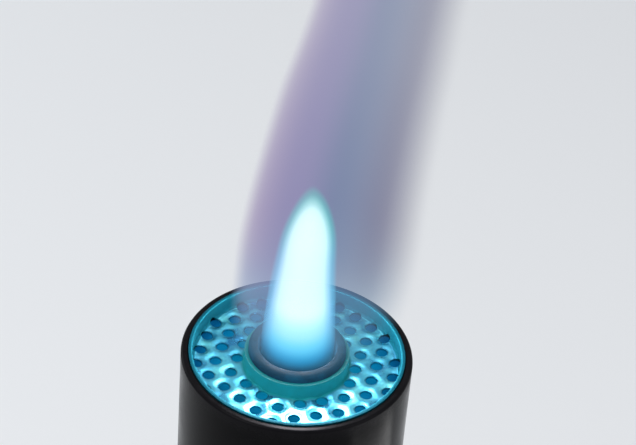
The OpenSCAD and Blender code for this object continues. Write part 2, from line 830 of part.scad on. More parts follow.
module air_collar() {
    grip_slope = 0.8;
    grip_z = collar_l - grip_l;
    groove_w = PI * grip_r / grip_grooves;
    color("#b9b6ae") difference() {
        translate([0, 0, collar_z]) turned([
            [collar_bore_r, 0, 0.2], [collar_r, 0, edge_r], [collar_r, grip_z - grip_slope],
            [grip_r, grip_z, 0.3], [grip_r, collar_l, edge_r], [collar_bore_r, collar_l, 0.2]
        ]);
        around(grip_grooves) translate([grip_r, 0, collar_z + grip_z - past])
            rotate(45) translate([-groove_deep * 0.7, -groove_deep * 0.7, 0])
                cube([groove_w, groove_w, grip_l + 2 * past]);
        air_ports(mixer_d);
    }
}

module retaining_ring() {
    inner_r = mixer_r - ring_groove + seat_gap;
    ear_x = mixer_r - ring_groove + ear_d / 2 + 0.6;
    ear_y = ring_gap / 2 + 0.9;
    eye_d = 0.9;
    color("#9a9da1") translate([0, 0, ring_z + run_gap / 2]) difference() {
        union() {
            ring(mixer_r + ring_stand, inner_r, ring_t, 0.15);
            for (y = [-ear_y, ear_y]) translate([ear_x, y, 0]) cylinder(d = ear_d, h = ring_t);
        }
        translate([0, -ring_gap / 2, -past]) cube([mixer_d, ring_gap, ring_t + 2 * past]);
        translate([0, 0, -past]) cylinder(r = inner_r, h = ring_t + 2 * past);
        for (y = [-ear_y, ear_y])
            translate([ear_x, y, -past]) cylinder(d = eye_d, h = ring_t + 2 * past);
    }
}

// ---- Barrel and head

module barrel() {
    color("#8f8c88") difference() {
        turned([
            [bore_r, barrel_z + seat_gap, 0.2], [barrel_r, barrel_z + seat_gap, 0.3],
            [barrel_r, rim_h + mouth_rise, 0.5], [bore_r, rim_h + mouth_rise, 0.25]
        ]);
        around(bleeds, 45) translate([0, 0, bleed_z]) rotate([0, 90, 0])
            cylinder(d = bleed_d, h = barrel_d);
    }
}

module head_shell() {
    head_r = head_d / 2;
    neck_r = neck_d / 2;
    neck_bore_r = barrel_r + seat_gap;
    screw_z = (neck_z + neck_top) / 2;
    cone_lift = 0.6;
    seat_w = 0.8;
    seat_lift = 1;
    color("#121315") difference() {
        turned([
            [neck_bore_r, neck_z, 0.2], [neck_r, neck_z, edge_r], [neck_r, neck_top, 1.5],
            [head_r, skirt_z, 2.5], [head_r, rim_h, 0.4], [lip_r, rim_h, 0.15],
            [lip_r, shelf_z], [shelf_r, shelf_z], [shelf_r, skirt_z + cone_lift, 1.5],
            [neck_bore_r + seat_w, neck_top + seat_lift, 0.5], [neck_bore_r, neck_top + seat_lift]
        ]);
        around(neck_screws) translate([0, 0, screw_z]) rotate([0, 90, 0])
            cylinder(d = neck_screw_d, h = neck_d);
    }
}

module neck_grub_screws() {
    screw_z = (neck_z + neck_top) / 2;
    tip = barrel_r + seat_gap;
    color("#55585c") around(neck_screws) translate([0, 0, screw_z]) rotate([0, 90, 0])
        translate([0, 0, tip]) grub(neck_screw_d - 2 * seat_gap, neck_d / 2 - tip);
}

// Centres of the perforations between two radii: a triangular grid centred on the barrel
function perforations(first, last) =
    let (reach = ceil(last / hole_pitch) + 1)
    [
        for (i = [-2 * reach : 2 * reach], j = [-2 * reach : 2 * reach])
            let (p = hole_pitch * [i + j / 2, j * sin(60)])
            if (norm(p) > first && norm(p) <= last) p
    ];

// A pressed pan: a perforated floor with a neck drawn up round the barrel and an edge
// turned up inside the shell's lip. Its sheet is perforated first, so the outermost holes
// run into the bend.
module perforated_plate() {
    neck_outer = plate_inner_r + plate_t;
    neck_top_z = plate_z + collar_rise;
    bend = 0.25;
    hole_r = hole_d / 2;
    first_r = neck_outer + hole_r + bare_ring;
    flat_r = plate_r - plate_t - hole_r;
    bend_r = flat_r + edge_draw + plate_t / 2;
    color("#3f97a3") difference() {
        turned([
            [plate_inner_r, shelf_z, bend + plate_t], [plate_inner_r, neck_top_z],
            [neck_outer, neck_top_z, 0.2], [neck_outer, plate_z, bend],
            [plate_r - plate_t, plate_z, bend], [plate_r - plate_t, rim_h, 0.15],
            [plate_r, rim_h, 0.15], [plate_r, shelf_z, bend + plate_t]
        ]);
        for (p = perforations(first_r, flat_r)) translate([p.x, p.y, shelf_z - past])
            cylinder(r = hole_r, h = plate_t + 2 * past);
        for (p = perforations(flat_r, bend_r))
            let (drawn = p - edge_draw * unit(p))
            translate([drawn.x, drawn.y, shelf_z - past])
                cylinder(r = hole_r, h = past + plate_t + bend);
    }
}

base_casting();
rubber_pads();
foot_screw();
foot_spring_washer();
body_washer();
valve_body();
hose_nozzle();
nozzle_gasket();
valve_bonnet();
bonnet_gasket();
needle_spindle();
spindle_o_ring();
valve_knob();
knob_bush();
knob_grub_screw();
knob_disc();
gas_jet();
mixing_sleeve();
wave_washer();
air_collar();
retaining_ring();
barrel();
head_shell();
perforated_plate();
neck_grub_screws();
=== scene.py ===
"""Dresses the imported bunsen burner: finishes, the pressed plate, flame, bench and lights."""

import json
import math

import bmesh
import bpy
from mathutils import Matrix, Vector, noise
from mathutils.geometry import delaunay_2d_cdt


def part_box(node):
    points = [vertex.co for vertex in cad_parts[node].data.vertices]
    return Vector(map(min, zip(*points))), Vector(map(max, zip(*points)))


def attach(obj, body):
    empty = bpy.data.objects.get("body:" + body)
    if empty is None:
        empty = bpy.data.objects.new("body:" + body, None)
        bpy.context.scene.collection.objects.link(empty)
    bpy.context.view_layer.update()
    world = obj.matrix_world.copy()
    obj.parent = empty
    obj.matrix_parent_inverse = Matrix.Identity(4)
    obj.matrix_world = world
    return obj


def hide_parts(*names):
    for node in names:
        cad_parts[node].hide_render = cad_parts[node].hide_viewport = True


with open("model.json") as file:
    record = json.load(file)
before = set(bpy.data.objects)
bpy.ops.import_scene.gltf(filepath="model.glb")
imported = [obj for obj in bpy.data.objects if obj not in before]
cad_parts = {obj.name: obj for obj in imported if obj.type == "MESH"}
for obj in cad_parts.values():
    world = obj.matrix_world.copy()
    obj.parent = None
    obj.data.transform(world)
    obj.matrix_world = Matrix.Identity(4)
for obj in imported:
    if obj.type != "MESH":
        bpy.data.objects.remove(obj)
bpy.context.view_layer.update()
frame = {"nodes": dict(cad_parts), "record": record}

MM = 0.001

# ---- Places, from the frame

_, barrel_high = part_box("barrel")
plate_low, plate_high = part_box("perforated_plate")
_, shell_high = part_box("head_shell")

RIM_Z = plate_high.z
MOUTH_Z = barrel_high.z
BARREL_R = barrel_high.x
RIM_R = plate_high.x

# ---- The plate's sheet, as in the CAD part: only holes whose centres lie from the first radius
# to the last are punched, and the outermost are drawn in

SHEET = 0.5 * MM
PLATE_Z = plate_low.z + SHEET
WALL_R = RIM_R - SHEET
BEND_R = 0.4 * MM
SHELF_R = shell_high.x - 2 * MM
HOLE_R = 0.8 * MM
HOLE_PITCH = 3 * MM
FIRST_HOLE_R = 7.77 * MM
LAST_HOLE_R = 13.78 * MM
EDGE_DRAW = 0.35 * MM
NECK_GAP = 0.02 * MM
NECK_RISE = 2.1 * MM
NECK_FLARE = 0.3 * MM
NECK_R = BARREL_R + NECK_GAP + SHEET
FLOOR_IN_R = NECK_R + NECK_GAP
FLOOR_OUT_R = WALL_R - BEND_R

# The flat blank that the sheet is pressed from: its floor, then the bend, then what is turned up
BEND_LENGTH = BEND_R * math.pi / 2
TURNED_UP = RIM_Z - PLATE_Z - BEND_R
BLANK_R = FLOOR_OUT_R + BEND_LENGTH + TURNED_UP

# ---- What the CAD part leaves out: a dish round each hole, and a slight warp

HOLE_DIP = 0.21 * MM
DIP_WIDTH = 0.5 * MM
# The deepest that neighbouring dishes make each other, as a share of one
DIP_SUM = 1.2
# Where the shell's shelf carries the sheet, it holds most of the dish flat
SHELF_LEAD = 0.6 * MM
SHELF_FADE = 0.9 * MM
SHELF_HOLD = 0.75
WARP_DEPTH = 0.05 * MM
WARP_SIZE = 4 * MM

# ---- The plate's mesh

ROUND_STEPS = 240
HOLE_STEPS = 28
# Rings of points, in mm past the bend's start and out from each hole's edge
BEND_RINGS = (0.0, 0.16, 0.31, 0.47, 0.63, 0.95, 1.3, 1.65)
DISH_RINGS = (0.09, 0.19, 0.31, 0.45, 0.6)
RING_SLACK = 0.02 * MM
# The least distance of those points, and of the fill's, from an outline
LOOP_CLEAR = 0.06 * MM
BEND_CLEAR = 0.1 * MM
FILL_CLEAR = 0.68 * MM
FILL_STEP = 0.24 * MM
FILL_ROW = 0.87
# A face's middle may lie this far inside a hole, where its edge is a chord
HOLE_SLACK = 0.002 * MM
SAME_POINT = 1e-6
# The neck's rings: angles round its flare, in degrees, then shares of its rise
NECK_ANGLES = (18, 36, 54, 72, 90)
NECK_LEVELS = (0.35, 0.6, 0.8, 1.0)
NECK_FOOT = 0.05 * MM
FLARE_SHARE = 0.06
CUT_EDGE = 0.09 * MM

# Distance from a hole's edge to the middle of three holes, where the sheet isn't dished
CREST = HOLE_PITCH / math.sqrt(3) - HOLE_R

# ---- The flame's rings: (height over the rim, radius, lean to the camera's right), in mm

CORE_RINGS = [
    (0.1, 4.85, 0.0), (1.3, 4.9, 0.0), (3.0, 4.9, 0.0), (6.5, 4.65, 0.0), (12.0, 4.35, 0.05),
    (16.0, 4.15, 0.2), (19.0, 3.85, 0.35), (21.5, 3.55, 0.45), (23.5, 3.25, 0.5),
    (25.2, 2.95, 0.5), (26.5, 2.5, 0.45), (27.5, 1.95, 0.45), (28.2, 1.1, 0.45),
]
MANTLE_RINGS = [
    (1.4, 8.5, 0.6), (5.0, 11.0, 1.6), (10.7, 11.8, 2.5), (17.4, 12.0, 3.0), (25.4, 11.5, 3.6),
    (33.2, 11.0, 4.5), (40.7, 10.5, 5.5), (48.0, 9.8, 6.8), (53.0, 9.3, 7.5), (60.0, 9.0, 8.4),
    (72.0, 8.4, 9.6), (84.0, 6.8, 10.6), (92.0, 4.0, 11.2),
]
LIGHT_RINGS = [
    (1.3, 3.4, 0.0), (6.5, 3.1, 0.0), (12.0, 2.8, 0.05), (16.0, 2.5, 0.25), (20.0, 2.3, 0.5),
    (25.0, 2.6, 0.8), (32.0, 3.4, 1.5), (40.0, 3.2, 2.5), (46.0, 1.0, 3.0),
]

# ---- Camera, as the photograph was taken: from above the head, tilted a little

FRAME_W, FRAME_H = 636, 445
FOCAL_PX = 2000
ELEVATION = math.radians(37.26)
ROLL = math.radians(4.7)
AZIMUTH = math.radians(-17.9)
DISTANCE = 267 * MM
RIM_CENTRE_PX = (297.2, 350.6)
SENSOR_W = 36
CLIP = (0.01, 20)

# Unit vectors of the photograph's view, on the bench: to its right and away from the camera
TO_RIGHT = Vector((math.cos(AZIMUTH), math.sin(AZIMUTH), 0))
AWAY = Vector((-math.sin(AZIMUTH), math.cos(AZIMUTH), 0))
UP = Vector((0, 0, 1))


def seen_from_camera(right=0.0, away=0.0, up=0.0):
    """A point given from the rim's centre, to the camera's right, away from it and up."""
    return Vector((0, 0, RIM_Z)) + TO_RIGHT * right + AWAY * away + UP * up


def add_object(name, data):
    """A new object in the scene."""
    made = bpy.data.objects.new(name, data)
    bpy.context.scene.collection.objects.link(made)
    return made


def add_mesh(name, mesh):
    """A new object made of what the mesh builder holds."""
    data = bpy.data.meshes.new(name)
    mesh.to_mesh(data)
    mesh.free()
    return add_object(name, data)


def stand(made, place, x, y, z):
    """Puts an object at place, with its own axes along x, y and z."""
    turn = Matrix((x, y, z)).transposed()
    made.matrix_world = Matrix.Translation(place) @ turn.to_4x4()


def make_camera():
    """A lens at the distance and angle that put the rim where the photograph has it."""
    forward = AWAY * math.cos(ELEVATION) - UP * math.sin(ELEVATION)
    above = AWAY * math.sin(ELEVATION) + UP * math.cos(ELEVATION)
    image_right = TO_RIGHT * math.cos(ROLL) + above * math.sin(ROLL)
    image_up = above * math.cos(ROLL) - TO_RIGHT * math.sin(ROLL)
    ray = forward
    ray = ray + image_right * (RIM_CENTRE_PX[0] - FRAME_W / 2) / FOCAL_PX
    ray = ray - image_up * (RIM_CENTRE_PX[1] - FRAME_H / 2) / FOCAL_PX
    place = Vector((0, 0, RIM_Z)) - ray.normalized() * DISTANCE
    data = bpy.data.cameras.new("camera")
    data.sensor_width = SENSOR_W
    data.lens = FOCAL_PX / FRAME_W * SENSOR_W
    data.clip_start, data.clip_end = CLIP
    camera = add_object("camera", data)
    stand(camera, place, image_right, image_up, -forward)
    bpy.context.scene.camera = camera
    bpy.context.scene.view_settings.view_transform = "Standard"


# ---- Materials

# Where noise mostly lies
MIDDLE = (0.3, 0.7)
# How the rounded normal lies to the true one: its cosine on a flat, and on a sharp edge
EDGE_COSINES = (0.98, 0.8)


class Nodes:
    """A node material, and short ways to add nodes to it."""

    def __init__(self, name):
        self.material = bpy.data.materials.new(name)
        self.material.use_nodes = True
        self.tree = self.material.node_tree
        self.place = self.node("ShaderNodeTexCoord").outputs["Object"]

    def node(self, kind, inputs=None, **settings):
        """Adds a node; an input is a socket to link or a plain value."""
        made = self.tree.nodes.new(kind)
        for name, value in settings.items():
            setattr(made, name, value)
        for name, value in (inputs or {}).items():
            if isinstance(value, bpy.types.NodeSocket):
                self.tree.links.new(value, made.inputs[name])
            else:
                made.inputs[name].default_value = value
        return made

    def math(self, operation, a, b):
        """One number from two."""
        return self.node("ShaderNodeMath", {0: a, 1: b}, operation=operation).outputs[0]

    def vector(self, operation, a, b=(0, 0, 0)):
        """A vector node's outputs: "Vector" or "Value", whichever the operation gives."""
        return self.node("ShaderNodeVectorMath", {0: a, 1: b}, operation=operation).outputs

    def length(self, x, y):
        """The length of a flat vector."""
        flat = self.node("ShaderNodeCombineXYZ", {0: x, 1: y}).outputs[0]
        return self.vector("LENGTH", flat)["Value"]

    def along(self, direction):
        """The place's distance along a direction, in metres."""
        return self.vector("DOT_PRODUCT", self.place, tuple(direction))["Value"]

    def axis(self, name):
        """One coordinate of the place on the object, in metres."""
        return self.node("ShaderNodeSeparateXYZ", {0: self.place}).outputs[name.upper()]

    def radius(self):
        """Distance from the barrel's axis, in metres."""
        return self.vector("LENGTH", self.stretched(z=0.0))["Value"]

    def stretched(self, z):
        """The place with its height multiplied."""
        return self.vector("MULTIPLY", self.place, (1, 1, z))["Vector"]

    def noise(self, size, detail=3.0, rough=0.5, place=None):
        """Cloudy noise from 0 to 1, whose features are about size metres across."""
        inputs = {"Vector": place or self.place, "Scale": 1 / size}
        inputs |= {"Detail": detail, "Roughness": rough}
        return self.node("ShaderNodeTexNoise", inputs).outputs["Fac"]

    def spread(self, value, low, high, to_low=0.0, to_high=1.0):
        """Maps low..high to to_low..to_high and stops there."""
        inputs = {"Value": value, "From Min": low, "From Max": high}
        inputs |= {"To Min": to_low, "To Max": to_high}
        return self.node("ShaderNodeMapRange", inputs, clamp=True).outputs["Result"]

    def ramp(self, value, stops, way="EASE"):
        """Colours along a value from 0 to 1."""
        made = self.node("ShaderNodeValToRGB", {"Fac": value})
        made.color_ramp.interpolation = way
        points = made.color_ramp.elements
        while len(points) < len(stops):
            points.new(0.5)
        for point, (at, colour) in zip(points, stops):
            point.position = at
            point.color = (*colour, 1)
        return made.outputs["Color"]

    def curve(self, value, stops, way="EASE"):
        """A ramp of plain numbers."""
        return self.ramp(value, [(at, (level,) * 3) for at, level in stops], way)

    def blend(self, share, first, second):
        """The first colour at 0, the second at 1. The node keeps its colours at 6, 7 and 2."""
        first, second = (
            colour if isinstance(colour, bpy.types.NodeSocket) else (*colour, 1)
            for colour in (first, second)
        )
        inputs = {0: share, 6: first, 7: second}
        return self.node("ShaderNodeMix", inputs, data_type="RGBA").outputs[2]

    def bump(self, height, depth, under=None):
        """A bump whose full height is depth metres."""
        inputs = {"Height": height, "Distance": depth, "Strength": 1.0}
        if under is not None:
            inputs["Normal"] = under
        return self.node("ShaderNodeBump", inputs).outputs["Normal"]

    def edges(self, width):
        """Near 1 on edges that stand out, 0 on flats and curves wider than width."""
        bevelled = self.node("ShaderNodeBevel", {"Radius": width}, samples=4).outputs[0]
        normal = self.node("ShaderNodeNewGeometry").outputs["Normal"]
        facing = self.vector("DOT_PRODUCT", bevelled, normal)["Value"]
        return self.spread(facing, *EDGE_COSINES)


class Surface(Nodes):
    """A material with a Principled shader. An underscore in a socket's name stands for a space."""

    def __init__(self, name, colour, roughness, metallic=0.0, **sockets):
        super().__init__(name)
        self.shader = self.tree.nodes["Principled BSDF"]
        self.set("Base Color", (*colour, 1))
        self.set("Roughness", roughness)
        self.set("Metallic", metallic)
        for socket, value in sockets.items():
            self.set(socket.replace("_", " "), value)

    def set(self, socket, value):
        """Links a socket to the shader, or gives it a plain value."""
        if isinstance(value, bpy.types.NodeSocket):
            self.tree.links.new(value, self.shader.inputs[socket])
        else:
            self.shader.inputs[socket].default_value = value


def turned_metal(name, colour, roughness, along="z"):
    """Plated or bare metal from a lathe: fine rings round an axis, smudges and tarnish."""
    line_width, line_depth = 0.25 * MM, 0.004 * MM
    tarnished = tuple(c * 0.72 for c in colour)
    metal = Surface(name, colour, roughness, metallic=1.0)
    smudge = metal.noise(6 * MM, 4.0, 0.6)
    fine = metal.noise(0.5 * MM, 2.0)
    rings = metal.node(
        "ShaderNodeTexNoise",
        {"W": metal.axis(along), "Scale": 1 / line_width, "Detail": 3.0},
        noise_dimensions="1D",
    ).outputs["Fac"]
    metal.set("Base Color", metal.blend(metal.spread(smudge, 0.45, 0.75), colour, tarnished))
    rough = metal.spread(smudge, 0.35, 0.7, roughness * 0.75, roughness * 1.45)
    metal.set("Roughness", metal.math("ADD", rough, metal.spread(fine, 0.4, 0.7, 0.0, 0.05)))
    metal.set("Normal", metal.bump(rings, line_depth, metal.bump(smudge, 0.02 * MM)))
    return metal.material


def foot_finish():
    """Sprayed and baked dark enamel: orange peel, dull patches, and edges worn to the iron."""
    enamel, iron, roughness = (0.02, 0.022, 0.026), (0.2, 0.19, 0.18), 0.42
    dusty = tuple(c * 1.9 + 0.004 for c in enamel)
    peel_size, peel_depth, worn = 1.6 * MM, 0.06 * MM, 0.7
    paint = Surface("foot_enamel", enamel, roughness, Coat_Weight=0.25, Coat_Roughness=0.18)
    skin = paint.noise(peel_size, 2.0, 0.45)
    patch = paint.noise(9 * MM, 4.0, 0.6)
    grit = paint.noise(0.35 * MM, 3.0, 0.65)
    bare = paint.math("MULTIPLY", paint.edges(0.35 * MM), paint.spread(grit, 0.42, 0.62))
    bare = paint.math("MULTIPLY", bare, worn)
    base = paint.blend(paint.spread(patch, 0.45, 0.8), enamel, dusty)
    paint.set("Base Color", paint.blend(bare, base, iron))
    rough = paint.spread(patch, 0.35, 0.75, roughness * 0.8, roughness * 1.35)
    paint.set("Roughness", paint.math("ADD", rough, paint.math("MULTIPLY", bare, 0.2)))
    paint.set("Metallic", paint.math("MULTIPLY", bare, 0.8))
    paint.set("Normal", paint.bump(grit, peel_depth * 0.3, paint.bump(skin, peel_depth)))
    return paint.material


def head_finish():
    """The head's black: smoother than the foot, and baked dull at the rim."""
    overall, black = (0.004, 0.004, 0.005), (0.0018, 0.0018, 0.0022)
    dusty, scorched, rubbed = (0.005, 0.005, 0.006), (0.006, 0.0055, 0.007), (0.03, 0.033, 0.04)
    bake_low, bake_high, bake_streak = 3.6 * MM, 0.9 * MM, 2.4 * MM
    paint = Surface("head_black", overall, 0.3, Specular_IOR_Level=0.04)
    skin = paint.noise(0.7 * MM, 2.0, 0.4)
    patch = paint.noise(7 * MM, 4.0, 0.62)
    grit = paint.noise(0.22 * MM, 3.0, 0.65)
    streak = paint.noise(1.2 * MM, 3.0, 0.6, paint.stretched(z=0.12))
    below_rim = paint.math("SUBTRACT", RIM_Z, paint.axis("z"))
    below_rim = paint.math("ADD", below_rim, paint.math("MULTIPLY", streak, bake_streak))
    baked = paint.spread(below_rim, bake_high, bake_low, 1.0, 0.0)
    bare = paint.math("MULTIPLY", paint.edges(0.25 * MM), paint.spread(grit, 0.5, 0.62))
    base = paint.blend(paint.spread(patch, 0.5, 0.8), black, dusty)
    base = paint.blend(paint.math("MULTIPLY", baked, 0.8), base, scorched)
    paint.set("Base Color", paint.blend(paint.math("MULTIPLY", bare, 0.35), base, rubbed))
    rough = paint.spread(patch, 0.35, 0.75, 0.15, 0.3)
    paint.set("Roughness", paint.math("ADD", rough, paint.math("MULTIPLY", baked, 0.18)))
    paint.set("Normal", paint.bump(grit, 0.003 * MM, paint.bump(skin, 0.006 * MM)))
    return paint.material


def barrel_finish():
    """Plated tube, heated: straw and brown below the head, sooty blue at the mouth."""
    clean = (0.5, 0.48, 0.46)
    heat_tint = [(0.0, (0.2, 0.12, 0.12)), (0.3, (0.42, 0.28, 0.15)), (0.65, (0.5, 0.43, 0.33)),
                 (1.0, clean)]
    mouth_tint = [(0.0, (0.012, 0.05, 0.09)), (0.4, (0.012, 0.07, 0.13)),
                  (0.7, (0.012, 0.09, 0.16)), (1.0, (0.012, 0.07, 0.12))]
    tube = Surface("barrel_steel", clean, 0.28, Specular_IOR_Level=0.02)
    cloud = tube.noise(5 * MM, 4.0, 0.6)
    fine = tube.noise(0.4 * MM, 3.0, 0.6)
    below = tube.math("SUBTRACT", MOUTH_Z, tube.axis("z"))
    below = tube.math("ADD", below, tube.spread(cloud, *MIDDLE, -2.5 * MM, 2.5 * MM))
    far = tube.ramp(tube.spread(below, 30 * MM, 60 * MM), heat_tint)
    near = tube.ramp(tube.spread(below, 0.0, 4 * MM), mouth_tint)
    tube.set("Base Color", tube.blend(tube.spread(below, 20 * MM, 26 * MM), near, far))
    sooty = tube.spread(below, 1 * MM, 10 * MM, 0.5, 0.0)
    tube.set("Roughness", tube.math("ADD", tube.spread(cloud, 0.35, 0.7, 0.24, 0.4), sooty))
    tube.set("Metallic", tube.spread(below, 4 * MM, 12 * MM))
    tube.set("Normal", tube.bump(fine, 0.006 * MM, tube.bump(cloud, 0.03 * MM)))
    return tube.material


def plate_finish():
    """Pressed heat-resistant sheet, blue-green from heat tint and painted flame light; darker at
    the holes, with painted shade and a painted highlight on its turned-up edge.
    """
    # The floor's heat tint, made brighter and bluer with the flame's blue light painted in
    floor_heat_tint_and_painted_flame_light = [
        (0.0, (0.035, 0.22, 0.42)), (0.5, (0.08, 0.43, 0.58)), (1.0, (0.15, 0.62, 0.65)),
    ]
    overall, hole_tint = (0.03, 0.25, 0.35), (0.004, 0.08, 0.17)
    # The neck's colour, the painted shade of the turned-up edge, and the painted highlight along
    # its top
    neck_tint, painted_wall_shade, painted_rim_highlight = (0.002, 0.26, 0.29), (0.002, 0.05, 0.07), (0.01, 0.13, 0.17)
    rim_rise = RIM_Z - PLATE_Z
    sheet = Surface("plate_steel", overall, 0.24, Specular_IOR_Level=0.3)
    cloud = sheet.noise(4 * MM, 4.0, 0.6)
    fleck = sheet.noise(0.6 * MM, 3.0, 0.55)
    grain = sheet.noise(0.16 * MM, 2.0, 0.5)
    above = sheet.math("SUBTRACT", sheet.axis("z"), PLATE_Z)

    # The floor, darker at the holes' edges
    hole = sheet.node("ShaderNodeAttribute", attribute_name="from_hole").outputs["Fac"]
    hole = sheet.math("ADD", hole, sheet.spread(fleck, *MIDDLE, -0.08, 0.08))
    edge = sheet.math("MULTIPLY", sheet.spread(hole, 0.0, 0.22, 1.0, 0.0), 0.8)
    floor = sheet.ramp(sheet.spread(cloud, *MIDDLE), floor_heat_tint_and_painted_flame_light)
    floor = sheet.blend(edge, floor, hole_tint)

    # The turned-up edge in painted shade, with a painted highlight line along the inside of its
    # top
    wall = sheet.spread(above, 0.05 * MM, 0.5 * MM)
    bent = sheet.spread(sheet.radius(), WALL_R - 0.5 * MM, WALL_R - 0.3 * MM)
    wall = sheet.math("MAXIMUM", wall, bent)
    top = sheet.spread(above, rim_rise - 0.2 * MM, rim_rise - 0.05 * MM)
    inner = sheet.spread(sheet.radius(), WALL_R + 0.05 * MM, WALL_R + 0.2 * MM, 1.0, 0.0)
    # Painted shade on the turned-up edge, with a painted highlight where its top meets the inside
    side = sheet.blend(sheet.math("MULTIPLY", top, inner), painted_wall_shade, painted_rim_highlight)

    neck = sheet.spread(sheet.radius(), BARREL_R + 0.7 * MM, BARREL_R + 1.1 * MM, 1.0, 0.0)
    sheet.set("Base Color", sheet.blend(neck, sheet.blend(wall, floor, side), neck_tint))
    sheet.set("Metallic", sheet.spread(neck, 0.0, 1.0, 0.97, 0.0))
    rough = sheet.spread(cloud, *MIDDLE, 0.25, 0.33)
    rough = sheet.math("ADD", rough, sheet.spread(fleck, 0.4, 0.7, 0.0, 0.06))
    formed = sheet.math("MAXIMUM", wall, neck)
    sheet.set("Roughness", sheet.math("ADD", rough, sheet.math("MULTIPLY", formed, 0.5)))
    sheet.set("Normal", sheet.bump(grain, 0.004 * MM, sheet.bump(fleck, 0.014 * MM)))
    return sheet.material


def rubber_finish(name, colour):
    """Matt and grained, with grey dust in patches."""
    dusty = tuple(c + 0.03 for c in colour)
    rubber = Surface(name, colour, 0.75)
    grain = rubber.noise(0.3 * MM, 3.0)
    dust = rubber.noise(5 * MM, 4.0, 0.6)
    rubber.set("Base Color", rubber.blend(rubber.spread(dust, 0.5, 0.8), colour, dusty))
    rubber.set("Roughness", rubber.spread(dust, *MIDDLE, 0.65, 0.85))
    rubber.set("Normal", rubber.bump(grain, 0.02 * MM))
    return rubber.material


def fibre_finish():
    """Red vulcanised fibre, with a lay in its thickness."""
    overall, red = (0.3, 0.06, 0.035), [(0.3, (0.2, 0.035, 0.02)), (0.7, (0.38, 0.1, 0.06))]
    fibre = Surface("fibre", overall, 0.6)
    lay = fibre.noise(0.8 * MM, 4.0, 0.65, fibre.stretched(z=5.0))
    fibre.set("Base Color", fibre.ramp(lay, red))
    fibre.set("Normal", fibre.bump(lay, 0.03 * MM))
    return fibre.material


def moulding_finish(name, colour, roughness):
    """Moulded plastic, paler where its edges are rubbed."""
    paler = tuple(min(1.0, c * 1.4 + 0.02) for c in colour)
    plastic = Surface(name, colour, roughness)
    flow = plastic.noise(4 * MM, 4.0, 0.55)
    scuff = plastic.noise(0.25 * MM, 3.0, 0.7)
    rub = plastic.math("MULTIPLY", plastic.edges(0.5 * MM), plastic.spread(scuff, 0.4, 0.65))
    plastic.set("Base Color", plastic.blend(plastic.math("MULTIPLY", rub, 0.6), colour, paler))
    rough = plastic.spread(flow, *MIDDLE, roughness * 0.85, roughness * 1.25)
    plastic.set("Roughness", plastic.math("ADD", rough, plastic.math("MULTIPLY", rub, 0.2)))
    plastic.set("Normal", plastic.bump(scuff, 0.004 * MM, plastic.bump(flow, 0.03 * MM)))
    return plastic.material


NICKEL = (0.66, 0.63, 0.58)
STEEL = (0.42, 0.43, 0.45)
STAINLESS = (0.55, 0.55, 0.55)
BRASS = (0.72, 0.48, 0.2)
RUBBER = (0.014, 0.014, 0.014)
NITRILE = (0.01, 0.01, 0.01)
BLACK_PLASTIC = (0.012, 0.012, 0.013)
YELLOW_PLASTIC = (0.72, 0.44, 0.015)

FINISHES = {
    "foot_enamel": foot_finish(),
    "head_black": head_finish(),
    "barrel_steel": barrel_finish(),
    "plate_steel": plate_finish(),
    "nickel": turned_metal("nickel", NICKEL, 0.2),
    "nickel_across": turned_metal("nickel_across", NICKEL, 0.2, along="x"),
    "steel": turned_metal("steel", STEEL, 0.35),
    "stainless": turned_metal("stainless", STAINLESS, 0.25, along="x"),
    "brass": turned_metal("brass", BRASS, 0.28),
    "rubber": rubber_finish("rubber", RUBBER),
    "nitrile": rubber_finish("nitrile", NITRILE),
    "fibre": fibre_finish(),
    "knob_plastic": moulding_finish("knob_plastic", BLACK_PLASTIC, 0.28),
    "disc_plastic": moulding_finish("disc_plastic", YELLOW_PLASTIC, 0.3),
}

# Nodes turned about the valve's axis, whose lathe rings run the other way
TURNED_ACROSS = {"hose_nozzle", "valve_bonnet"}


# ---- CAD nodes: smooth shading over their rounded edges, and their finishes

SMOOTH_UNDER = math.radians(28)
WELD = 0.001 * MM


def smooth_group():
    """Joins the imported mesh's split corners, and shades it smooth but for its creases."""
    group = bpy.data.node_groups.new("join_and_smooth", "GeometryNodeTree")
    for way in ("INPUT", "OUTPUT"):
        group.interface.new_socket("Geometry", in_out=way, socket_type="NodeSocketGeometry")
    add, link = group.nodes.new, group.links.new
    source, result = add("NodeGroupInput"), add("NodeGroupOutput")
    plain = add("GeometryNodeRemoveAttribute")
    plain.inputs["Name"].default_value = "custom_normal"
    weld = add("GeometryNodeMergeByDistance")
    weld.inputs["Distance"].default_value = WELD
    angle = add("GeometryNodeInputMeshEdgeAngle")
    gentle = add("FunctionNodeCompare")
    gentle.operation = "LESS_THAN"
    gentle.inputs[1].default_value = SMOOTH_UNDER
    faces, creases = add("GeometryNodeSetShadeSmooth"), add("GeometryNodeSetShadeSmooth")
    faces.domain, creases.domain = "FACE", "EDGE"
    link(source.outputs[0], plain.inputs["Geometry"])
    link(plain.outputs[0], weld.inputs["Geometry"])
    link(weld.outputs[0], faces.inputs["Geometry"])
    link(faces.outputs[0], creases.inputs["Geometry"])
    link(angle.outputs["Unsigned Angle"], gentle.inputs[0])
    link(gentle.outputs[0], creases.inputs["Shade Smooth"])
    link(creases.outputs[0], result.inputs[0])
    return group


def finish_nodes():
    """Gives each CAD node its slot's finish and smooth shading."""
    group = smooth_group()
    for part in frame["record"]["subparts"]:
        name = part["node"]
        finish = FINISHES["nickel_across" if name in TURNED_ACROSS else part["material_slot"]]
        node = frame["nodes"][name]
        node.data.materials.clear()
        node.data.materials.append(finish)
        node.modifiers.new("join_and_smooth", "NODES").node_group = group
        weighted = node.modifiers.new("weighted_normals", "WEIGHTED_NORMAL")
        weighted.keep_sharp = True


# ---- The perforated plate, pressed from one sheet


